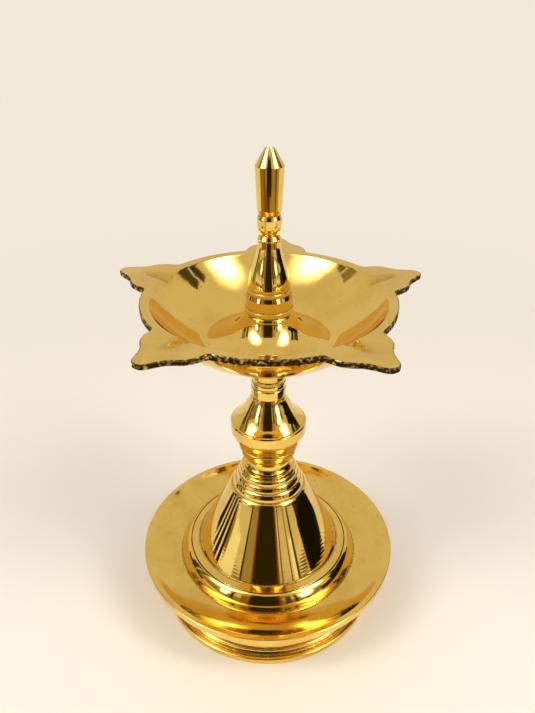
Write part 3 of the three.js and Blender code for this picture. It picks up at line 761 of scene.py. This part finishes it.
# Foot and top that several cards share, as metres away from the lamp's axis and up
TALL_BAR = ((0.45, 0.11), (0.45, 0.4))
BAR = ((0.45, 0.11), (0.45, 0.34))
LOW_BAR = ((0.45, 0.0), (0.45, 0.11))
STRIP = ((0.16, 0.0), (0.16, 0.045))
SHEET = ((0.33, 0.002), (1.3, 0.002))
CARDS = (
    # name, colour, first and last azimuth in degrees, foot and top
    ("front card", "#2e2812", -21, 14, (0.42, 0.0), (0.42, 0.62)),
    ("front card's edge", "#8f4a1c", -23.5, 17, (0.43, 0.0), (0.43, 0.62)),
    ("brown card", "#b8a07a", -33, 29, (0.5, 0.33), (0.5, 0.66)),
    ("low card", "#9a866c", -84, 66, (1.4, 0.25), (1.4, 0.55)),
    ("left card", "#6c604e", -92, -84, (0.75, 0.0), (0.75, 0.75)),
    ("left bar", "#2a2416", -88, -86.5, (0.74, 0.42), (0.74, 0.75)),
    ("left dark card", "#4c412f", -106, -95, (0.75, 0.0), (0.75, 0.45)),
    ("upper left card", "#8f8166", -106, -95, (0.75, 0.45), (0.75, 0.75)),
    ("right card", "#1c1810", 80, 116, (0.75, 0.0), (0.75, 0.46)),
    ("upper right card", "#35302a", 90, 98, (0.75, 0.46), (0.75, 0.88)),
    ("far upper right card", "#4c463a", 100, 112, (0.75, 0.46), (0.75, 0.8)),
    ("low right card", "#3a3222", 64, 80, (0.75, 0.0), (0.75, 0.22)),
    # Bars in front, for the streaks on the finial and the stem
    ("first bar", "#3d3218", -43, -39, *TALL_BAR),
    ("second bar", "#8a6a30", -30, -24, *BAR),
    ("third bar", "#4a3d1c", 20, 27, *BAR),
    ("fourth bar", "#3a2f16", 31, 35, *TALL_BAR),
    # Dark strips close by, which the cone's sides reflect
    ("right strip", "#1a160c", 60, 114, *STRIP),
    ("first left strip", "#1f1a0e", -79, -74, *STRIP),
    ("second left strip", "#1f1a0e", -88, -82, *STRIP),
    ("third left strip", "#2b2413", -96, -91, *STRIP),
    ("fourth left strip", "#1f1a0e", -108, -99, *STRIP),
    # Glowing white cards close by, which paint the bright streaks on either side of the cone's
    # front
    ("left bright card", "#ffffff", -69, -50, (0.2, 0.0), (0.2, 0.045)),
    ("right bright card", "#ffffff", 37, 42, (0.2, 0.0), (0.2, 0.05)),
    # A low card and bars in front, for the darker streaks there
    ("grey low card", "#a39372", -37, -23.5, *LOW_BAR),
    ("first low bar", "#3d3218", -40, -37, *LOW_BAR),
    ("second low bar", "#6a5224", 20, 22, *LOW_BAR),
    ("third low bar", "#3d3218", 34, 35.5, *LOW_BAR),
    ("fourth low bar", "#54472a", 43, 47, *LOW_BAR),
    # Sheets that lie on the floor in front, for the streaks on the finial's shaft
    ("first sheet", "#957a40", -80, -47, *SHEET),
    ("second sheet", "#7f6126", -47, -17, *SHEET),
    ("third sheet", "#574012", -17, -2, *SHEET),
    ("fourth sheet", "#8a6e34", -2, 6, *SHEET),
    ("fifth sheet", "#ae9254", 6, 50, *SHEET),
    ("sixth sheet", "#6e5828", 50, 60, *SHEET),
    ("seventh sheet", "#b89f66", 60, 80, *SHEET),
)


def placed(azimuth, elevation, distance, height):
    """A point seen from the lamp's axis at a height. Azimuth 0 is in front, 90 on the right."""
    turn, rise = math.radians(azimuth), math.radians(elevation)
    flat = distance * math.cos(rise)
    x, y = flat * math.sin(turn), LAMP_AXIS_Y - flat * math.cos(turn)
    return Vector((x, y, height + distance * math.sin(rise)))


def plain_piece(name, corners, faces, material):
    """A piece of the studio, all of one material."""
    mesh = bpy.data.meshes.new(name)
    mesh.from_pydata([tuple(corner) for corner in corners], [], faces)
    mesh.materials.append(material)
    return new_object(name, mesh)


def stage_piece(name, corners, faces, material):
    """A piece of the studio that the camera itself doesn't see."""
    piece = plain_piece(name, corners, faces, material)
    piece.visible_camera = False
    return piece


def softbox(name, azimuth, elevation, roll, width, height, cloth):
    """A flat panel that faces the lamp, rolled about the line between them."""
    aim = Vector((0, LAMP_AXIS_Y, SOFTBOX_AIM))
    middle = placed(azimuth, elevation, SOFTBOX_DISTANCE, aim.z)
    away = (middle - aim).normalized()
    level = away.cross(Vector((0, 0, 1))).normalized()
    across = Matrix.Rotation(math.radians(roll), 3, away) @ level
    up = across.cross(away).normalized() * height / 2
    across *= width / 2
    corners = [
        middle - across - up, middle + across - up, middle + across + up, middle - across + up,
    ]
    piece = stage_piece(name, corners, [(0, 1, 2, 3)], cloth)
    uv = piece.data.uv_layers.new(name="across")
    for loop, place in zip(uv.data, ((0, 0), (1, 0), (1, 1), (0, 1))):
        loop.uv = place


def card(name, colour, start, end, foot, top, facet=6):
    """A card, curved round the lamp from one azimuth to another, that only shows in the lamp's
    reflections. It glows with its own colour and takes no light, so its colour is a painted
    reflection in the lamp. foot and top are its edges, as distance from the axis and height, and
    each of its facets is about facet degrees wide."""
    turns = np.radians(np.linspace(start, end, 2 + round((end - start) / facet)))
    corners = [
        (distance * math.sin(turn), LAMP_AXIS_Y - distance * math.cos(turn), height)
        for distance, height in (foot, top)
        for turn in turns
    ]
    count = len(turns)
    faces = [(place, place + 1, place + 1 + count, place + count) for place in range(count - 1)]
    material, tree = new_material(name)
    # Glowing plain colour, lit by nothing: a painted reflection, dark or bright
    plain = add_node(tree, "ShaderNodeEmission", [("Color", linear(colour)), ("Strength", 1.0)])
    add_node(tree, "ShaderNodeOutputMaterial", [("Surface", plain)])
    piece = stage_piece(name, corners, faces, material)
    piece.visible_shadow = piece.visible_diffuse = False


def diffuser(name, colour, strength):
    """The lit cloth of a softbox: brightest in the middle, fading towards its edges."""
    material, tree = new_material(name)
    place = add_node(tree, "ShaderNodeUVMap", uv_map="across")
    middle = add_node(
        tree, "ShaderNodeVectorMath", [(0, place), (1, (0.5, 0.5, 0))],
        operation="SUBTRACT",
    )
    size = add_node(tree, "ShaderNodeVectorMath", [(0, middle)], operation="ABSOLUTE")
    parts = add_node(tree, "ShaderNodeSeparateXYZ", [(0, size)])
    fades = [
        add_node(
            tree, "ShaderNodeMapRange",
            [("Value", parts.outputs[axis]), ("From Min", 0.5), ("From Max", 0.02)],
            interpolation_type="SMOOTHSTEP",
        )
        for axis in ("X", "Y")
    ]
    fade = add_node(
        tree, "ShaderNodeMath", [(0, fades[0]), (1, fades[1])], operation="MULTIPLY"
    )
    level = add_node(tree, "ShaderNodeMath", [(0, fade), (1, strength)], operation="MULTIPLY")
    glow = add_node(tree, "ShaderNodeEmission", [("Strength", level), ("Color", linear(colour))])
    clear = add_node(tree, "ShaderNodeBsdfTransparent")
    mixed = add_node(tree, "ShaderNodeMixShader", [(0, fade), (1, clear), (2, glow)])
    add_node(tree, "ShaderNodeOutputMaterial", [("Surface", mixed)])
    return material


def seen_directly(tree):
    """A node that gives 1 for rays from the camera, a reflection or through glass."""
    path = add_node(tree, "ShaderNodeLightPath")
    seen = path.outputs["Is Camera Ray"]
    for kind in ("Is Glossy Ray", "Is Transmission Ray"):
        seen = add_node(
            tree, "ShaderNodeMath", [(0, seen), (1, path.outputs[kind])], operation="MAXIMUM"
        )
    return seen


def paper(name, colour):
    """Matt paper. Away from the lamp it is its own colour to the camera and in reflections."""
    material, tree = new_material(name)
    lit = add_node(tree, "ShaderNodeBsdfDiffuse", [("Color", colour)])
    plain = add_node(tree, "ShaderNodeEmission", [("Color", colour), ("Strength", 1.0)])
    place = add_node(tree, "ShaderNodeTexCoord").outputs["Object"]
    distance = add_node(tree, "ShaderNodeVectorMath", [(0, place)], operation="LENGTH")
    far = add_node(
        tree, "ShaderNodeMapRange",
        [("Value", distance.outputs["Value"]), ("From Min", 0.08), ("From Max", 0.5)],
        interpolation_type="SMOOTHSTEP",
    )
    share = add_node(
        tree, "ShaderNodeMath", [(0, far), (1, seen_directly(tree))], operation="MULTIPLY"
    )
    mixed = add_node(tree, "ShaderNodeMixShader", [(0, share), (1, lit), (2, plain)])
    add_node(tree, "ShaderNodeOutputMaterial", [("Surface", mixed)])
    return material


# Settings


class LampSizes(bpy.types.PropertyGroup):
    """Sizes that don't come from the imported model."""

    edge_rounding: FloatProperty(
        name="Edge rounding", description="Rounding of the polished edges",
        default=0.18 * MM, min=0.02 * MM, max=0.5 * MM, unit="LENGTH", precision=5,
    )
    segments: IntProperty(
        name="Segments", description="Facets round each turned piece",
        default=192, min=48, max=512,
    )
    bowl_columns: IntProperty(
        name="Bowl columns", description="Facets round the edge of the bowl",
        default=560, min=200, max=1200,
    )
    edge_relief: FloatProperty(
        name="Cast edge relief", description="How rough the upright edge of the bowl is",
        default=0.22 * MM, min=0.0, max=0.6 * MM, unit="LENGTH", precision=5,
    )
    chatter_spacing: FloatProperty(
        name="Chatter spacing", description="Distance between the tool marks low on the cone",
        default=1.2 * MM, min=0.4 * MM, max=3 * MM, unit="LENGTH", precision=5,
    )
    chatter_depth: FloatProperty(
        name="Chatter depth", description="Depth of the tool marks low on the cone",
        default=0.013 * MM, min=0.0, max=0.05 * MM, unit="LENGTH", precision=6,
    )


def colour_property(name, description, hex_colour):
    """A colour to set in the panel, whose default is an sRGB hex value."""
    return FloatVectorProperty(
        name=name, description=description, subtype="COLOR", size=4, min=0.0, max=1.0,
        default=linear(hex_colour),
    )


class LampColours(bpy.types.PropertyGroup):
    """Colours of the finishes and of the studio."""

    brass: colour_property("Brass", "Clean polished brass", "#f5d271")
    tarnish: colour_property("Tarnish", "Brass where it has dulled", "#dbac50")
    # This colour is the real casting skin and old polish, and is also painted as shade in grooves
    # and inner corners and as a dark reflection along the wick channels
    residue_and_shade: colour_property("Residue", "Casting skin, and old polish in the crevices", "#3a280e")
    zinc: colour_property("Zinc plate", "The bolt and the washers under the foot", "#c3c7cb")
    fibre: colour_property("Fibre", "The seals under the bowl and the finial", "#7c3527")
    floor: colour_property("Floor", "Floor and backdrop", "#f3e9da")


def sizes():
    """The sizes that are set in the panel."""
    return bpy.context.scene.lamp_sizes


# Pieces


class LAMP_OT_foot_tray(bpy.types.Operator):
    """Adds the cast foot with its drip tray."""

    bl_idname = "lamp.foot_tray"
    bl_label = "Foot and drip tray"

    def execute(self, context):
        outline = [
            # Drum foot with its bead
            (37.8, 8), (37.8, 0, 0.4), (42.6, 0, 0.5), (42.6, 2.4, 0.6), (40.4, 2.7, 0.5),
            (40.4, 4.6, 0.2),
            *smooth_curve(
                [(40.45, 4.75), (41.1, 5.1), (41.25, 5.5), (41.1, 5.9), (40.45, 6.25)], 0.15
            ),
            (40.4, 6.4, 0.2),
            # Flare, rim and dish
            *smooth_curve([
                (40.4, 7.0), (40.4, 10.0), (40.7, 13.5), (42.2, 16.8), (45.2, 19.2), (49.2, 20.45),
            ]),
            (49.8, 20.6, 0.3), (50.0, 23.6, 0.35), (48.1, 23.7, 0.5),
            *smooth_curve([
                (47.9, 23.55), (45.5, 21.9), (42.5, 20.45), (39.4, 19.5), (36.8, 19.14),
                (35.5, 19.1),
            ]),
            (35.0, 19.1, 0.2),
            # Raised ring, the rebate that the cone sits in, and the bolt's bore
            *smooth_curve([
                (35.0, 19.3), (34.92, 20.1), (34.6, 21.0), (33.8, 22.4), (33.0, 23.5),
                (32.25, 24.3), (31.55, 24.8),
            ]),
            (31.25, 24.7, 0.1), (31.25, 20.2, 0.2), (4.35, 20.2, 0.2),
            # Hollow underside
            (4.35, 17.6, 0.2), (31.25, 17.6, 0.6), (35.0, 16.5, 1.0), (37.8, 16.5, 1.0), (37.8, 8),
        ]
        piece = turned("foot_and_tray", outline, "buffed cast brass")
        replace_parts(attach(piece, "base"), "foot_tray")
        return {"FINISHED"}


class LAMP_OT_cone(bpy.types.Operator):
    """Adds the turned cone with the stepped rings at its top."""

    bl_idname = "lamp.cone"
    bl_label = "Cone"

    def execute(self, context):
        spacing, depth = sizes().chatter_spacing / MM, sizes().chatter_depth / MM
        flank_foot, chatter_end, chatter_fade = 25.2, 38, 12  # heights, and a length
        outline = [
            # Skirt, ledge and flank
            (28.3, 21), (28.3, 20.5, 0.3), (30.9, 20.5, 0.3), (30.9, 24.75, 0.12),
            (27.75, 25.05, 0.2), (15.2, 51.0, 0.3),
            # Stepped rings
            *smooth_curve([(15.1, 51.25), (14.75, 52.0), (14.2, 52.55)], 0.2),
            (13.85, 52.75, 0.1), (13.75, 53.0, 0.1),
            *smooth_curve([(13.7, 53.2), (13.45, 54.2), (12.85, 55.5)], 0.2),
            (12.4, 55.9, 0.1), (12.3, 56.2, 0.1),
            *smooth_curve([(12.25, 56.4), (12.0, 57.2), (11.6, 58.0)], 0.2),
            (11.2, 58.3, 0.1), (11.15, 58.6, 0.1),
            *smooth_curve([(11.2, 58.8), (11.1, 59.5), (10.75, 60.3)], 0.2),
            (10.35, 60.6, 0.1), (10.45, 61.0, 0.1), (10.2, 61.8, 0.25),
            # The stem's socket, the bolt's bore and the hollow inside
            (6.35, 61.8, 0.2), (6.35, 59.5, 0.2), (4.35, 59.5, 0.2), (4.35, 56.9, 0.2),
            (10.1, 56.9, 0.5), (12.3, 51.1, 0.5), (24.8, 24.9, 0.5), (28.3, 22, 0.3), (28.3, 21),
        ]

        def chatter(radius, height, angles):
            """Tool marks: deepest at the foot, gone half way up, and stronger on one side."""
            low = np.clip((chatter_end - height) / chatter_fade, 0, 1) * (height > flank_foot)
            strength = 0.6 + 0.4 * np.cos(angles + 0.8)
            return radius + depth * low * strength * math.cos(2 * math.pi * height / spacing)

        piece = turned("turned_cone", outline, "turned brass", step=0.38, relief=chatter)
        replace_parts(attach(piece, "base"), "cone")
        return {"FINISHED"}


class LAMP_OT_stem(bpy.types.Operator):
    """Adds the stem: neck, tiers, knop, shoulder, collar and the lamp's screw."""

    bl_idname = "lamp.stem"
    bl_label = "Stem and screw"

    def execute(self, context):
        screw = [(THREAD_MAJOR, SCREW_FOOT + step) for step in np.arange(0.2, 29.6, SCREW_STEP)]
        outline = [
            # The bolt's hole, the spigot in the cone, and the neck
            (0, 73.7), (4.35, 73.7, 0.2), (4.35, 60.1, 0.2), (6.0, 60.1, 0.2), (6.0, 62.1, 0.2),
            (9.0, 62.1, 0.25),
            *smooth_curve([(8.95, 62.4), (8.3, 63.2), (8.0, 64.4), (7.92, 65.6)], 0.2),
            # Two tiers
            (7.9, 66.2, 0.2), (9.3, 66.35, 0.2),
            *smooth_curve([(9.45, 66.6), (10.2, 68.3), (10.8, 70.2), (11.1, 71.4)], 0.35),
            (11.15, 71.75, 0.1), (10.85, 71.95, 0.1), (11.25, 72.2, 0.1),
            *smooth_curve([(11.35, 72.5), (12.1, 74.2), (12.8, 76.1), (13.1, 77.1)], 0.35),
            # Knop and shoulder
            (13.15, 77.4, 0.1), (12.9, 77.65, 0.1), (13.6, 77.8, 0.15), (13.85, 78.2, 0.3),
            (13.9, 81.9, 0.3), (13.6, 82.3, 0.2),
            *smooth_curve(
                [(13.2, 82.55), (11.0, 84.6), (9.0, 87.4), (7.7, 89.8), (6.9, 91.2), (6.45, 92.2)],
                0.35,
            ),
            # Collar and screw
            (6.3, 92.9, 0.15), (6.15, 93.2, 0.1), (6.3, 93.5, 0.1), (6.2, 96.5, 0.1),
            (5.95, 96.8, 0.1), (5.95, 97.3, 0.1), (6.15, 97.6, 0.15), (6.1, 98.6, 0.15),
            (5.8, 98.9, 0.1), (5.8, 99.8, 0.1), (5.95, 100.1, 0.1), (5.85, 100.6, 0.2),
            (5.85, SCREW_FOOT, 0.25), (THREAD_MAJOR, SCREW_FOOT, 0.1), *screw,
            (THREAD_MAJOR, 136.4), (THREAD_MAJOR - 0.8, SCREW_TOP, 0.15), (0, SCREW_TOP),
        ]

        def thread(radius, height, angles):
            """The thread, which starts shallow and is full after one turn."""
            if height < THREAD_START or radius > THREAD_MAJOR + 0.01:
                return np.full(len(angles), radius)
            ease = min(1.0, (height - THREAD_START) / THREAD_PITCH)
            cut = THREAD_DEPTH * (1 - thread_depth(height, angles)) * ease
            return np.minimum(radius, THREAD_MAJOR - cut)

        piece = turned("turned_stem", outline, "polished brass", step=1.2, relief=thread)
        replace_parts(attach(piece, "base"), "stem")
        return {"FINISHED"}


class LAMP_OT_bowl(bpy.types.Operator):
    """Adds the oil bowl with its beaks and tapped boss."""

    bl_idname = "lamp.bowl"
    bl_label = "Bowl"

    def execute(self, context):
        piece = build_bowl(sizes().bowl_columns, sizes().edge_relief / MM)
        piece.data.materials.append(finish_named("buffed cast brass"))
        piece.data.materials.append(finish_named("rough cast brass"))
        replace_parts(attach(piece, "bowl"), "bowl")
        return {"FINISHED"}


class LAMP_OT_finial(bpy.types.Operator):
    """Adds the finial that holds the bowl down."""

    bl_idname = "lamp.finial"
    bl_label = "Finial"

    def execute(self, context):
        minor, major = THREAD_MAJOR - THREAD_DEPTH + SLIP_GAP, THREAD_MAJOR + SLIP_GAP
        tap_foot, tap_top = 127.6, 136.4
        rings = np.arange(tap_top - 0.2, tap_foot + 0.3, -TAP_STEP)
        outline = [
            # Hollow over the screw's end, tap, and the seal's pocket
            (0, 138.8), (major, 138.8, 0.2), (major, tap_top, 0.1), (minor, tap_top, 0.1),
            *((minor, height) for height in rings),
            (minor, tap_foot, 0.1), (6.55, tap_foot, 0.2), (6.55, 126.4, 0.2),
            # Foot rings
            (8.15, 126.4, 0.12), (8.15, 127.75, 0.08), (7.8, 128.0, 0.05), (7.78, 131.6, 0.1),
            (7.25, 133.0, 0.06), (7.22, 134.2, 0.08), (6.98, 134.4, 0.05), (6.95, 135.5, 0.06),
            # Bottle-shaped lower half
            *smooth_curve(
                [(6.9, 135.7), (6.18, 139.7), (4.85, 144.0), (4.05, 147.0), (3.74, 148.8),
                 (3.65, 150.6)],
                0.35,
            ),
            # Lip, groove, small bead and second groove
            (3.68, 150.95, 0.05), (3.86, 151.12, 0.06), (3.04, 152.4, 0.05), (3.06, 152.55, 0.05),
            *smooth_curve([(3.2, 152.85), (3.62, 153.9), (3.82, 155.5), (3.95, 157.3)], 0.3),
            (3.98, 157.62, 0.05), (3.44, 158.8, 0.05), (3.46, 158.95, 0.05), (3.94, 160.45, 0.12),
            # Shaft and point, with a lathe centre in its end
            (4.55, 173.7, 0.25), (1.65, 178.75, 0.15), (1.2, 178.8, 0.1), (0.7, 178.1, 0.1),
            (0, 178.0),
        ]

        def thread(radius, height, angles):
            """The tap's thread, which runs out over the last half millimetre below its top."""
            if radius > minor + 0.01 or not tap_foot - 0.1 < height < tap_top + 0.1:
                return np.full(len(angles), radius)
            ease = min(1.0, (tap_top - height) / 0.5)
            return minor + THREAD_DEPTH * thread_depth(height, angles, FLANK_GAP) * ease

        piece = turned("turned_finial", outline, "polished brass", step=0.7, relief=thread)
        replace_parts(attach(piece, "finial"), "finial")
        return {"FINISHED"}


FASTENER_FINISHES = {
    "base_bolt": "zinc plated steel",
    "base_washer": "zinc plated steel",
    "lock_washer": "zinc plated steel",
    "bowl_seal": "red vulcanised fibre",
    "finial_seal": "red vulcanised fibre",
}


class LAMP_OT_fasteners(bpy.types.Operator):
    """Finishes the bolt, the washers and the seals, whose solids are already whole."""

    bl_idname = "lamp.fasteners"
    bl_label = "Bolt, washers and seals"

    def execute(self, context):
        for node, finish in FASTENER_FINISHES.items():
            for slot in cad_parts[node].material_slots:
                slot.material = finish_named(finish)
        return {"FINISHED"}


# Stage


class LAMP_OT_studio(bpy.types.Operator):
    """Adds the floor, the soft lights, the world and the camera."""

    bl_idname = "lamp.studio"
    bl_label = "Studio"

    def execute(self, context):
        scene = context.scene
        scene.view_settings.view_transform = "Standard"
        colours = scene.lamp_colours
        corners = [
            (x * FLOOR_REACH, y * FLOOR_REACH, 0) for x, y in ((-1, -1), (1, -1), (1, 1), (-1, 1))
        ]
        floor = plain_piece("floor", corners, [(0, 1, 2, 3)], paper("matt paper", colours.floor))
        world = bpy.data.worlds.new("pale studio")
        scene.world = world
        world.use_nodes = True
        tree = world.node_tree
        tree.nodes.clear()
        # The camera sees the backdrop as bright as the floor, and the lamp a little dimmer
        path = add_node(tree, "ShaderNodeLightPath")
        level = add_node(
            tree, "ShaderNodeMath",
            [(0, path.outputs["Is Camera Ray"]), (1, BACKDROP_EXTRA), (2, BACKDROP_REFLECTED)],
            operation="MULTIPLY_ADD",
        )
        pale = add_node(
            tree, "ShaderNodeBackground", [("Color", colours.floor), ("Strength", level)]
        )
        fill = add_node(
            tree, "ShaderNodeBackground", [("Color", linear("#fbfdff")), ("Strength", FILL_LIGHT)]
        )
        both = add_node(
            tree, "ShaderNodeMixShader", [(0, seen_directly(tree)), (1, fill), (2, pale)]
        )
        add_node(tree, "ShaderNodeOutputWorld", [("Surface", both)])
        cloth = diffuser("softbox cloth", "#fffcf8", SOFTBOX_STRENGTH)
        for settings in SOFTBOXES:
            softbox(*settings, cloth)
        for settings in CARDS:
            card(*settings)
        camera = bpy.data.cameras.new("camera")
        camera.lens = CAMERA_LENS
        camera.clip_start = 0.01
        camera.shift_x = CAMERA_SHIFT
        view = new_object("camera", camera)
        view.matrix_world = (
            Matrix.Translation((0, LAMP_AXIS_Y - CAMERA_BACK, CAMERA_HEIGHT))
            @ Matrix.Rotation(math.radians(90 - CAMERA_DOWN), 4, "X")
            @ Matrix.Rotation(CAMERA_ROLL, 4, "Z")
        )
        scene.camera = view
        return {"FINISHED"}


# Panel


class LAMP_PT_panel(bpy.types.Panel):
    """Lists the lamp's sizes, colours and pieces."""

    bl_label = "Stand lamp"
    bl_idname = "LAMP_PT_panel"
    bl_space_type = "VIEW_3D"
    bl_region_type = "UI"
    bl_category = "Lamp"

    def draw(self, context):
        for group in (context.scene.lamp_sizes, context.scene.lamp_colours):
            for name in group.__annotations__:
                self.layout.prop(group, name)
        for operator in OPERATORS:
            self.layout.operator(operator.bl_idname)


OPERATORS = (
    LAMP_OT_studio, LAMP_OT_foot_tray, LAMP_OT_cone, LAMP_OT_stem, LAMP_OT_bowl, LAMP_OT_finial,
    LAMP_OT_fasteners,
)
CLASSES = (LampSizes, LampColours, *OPERATORS, LAMP_PT_panel)


def register():
    """Registers the classes, and gives the scene its settings."""
    for cls in CLASSES:
        bpy.utils.register_class(cls)
    bpy.types.Scene.lamp_sizes = PointerProperty(type=LampSizes)
    bpy.types.Scene.lamp_colours = PointerProperty(type=LampColours)


def unregister():
    """Takes back what register added."""
    del bpy.types.Scene.lamp_colours
    del bpy.types.Scene.lamp_sizes
    for cls in reversed(CLASSES):
        bpy.utils.unregister_class(cls)


def main():
    """Builds the studio and the lamp."""
    register()
    bpy.ops.lamp.studio()
    bpy.ops.lamp.foot_tray()
    bpy.ops.lamp.cone()
    bpy.ops.lamp.stem()
    bpy.ops.lamp.bowl()
    bpy.ops.lamp.finial()
    bpy.ops.lamp.fasteners()


if __name__ == "__main__":
    main()
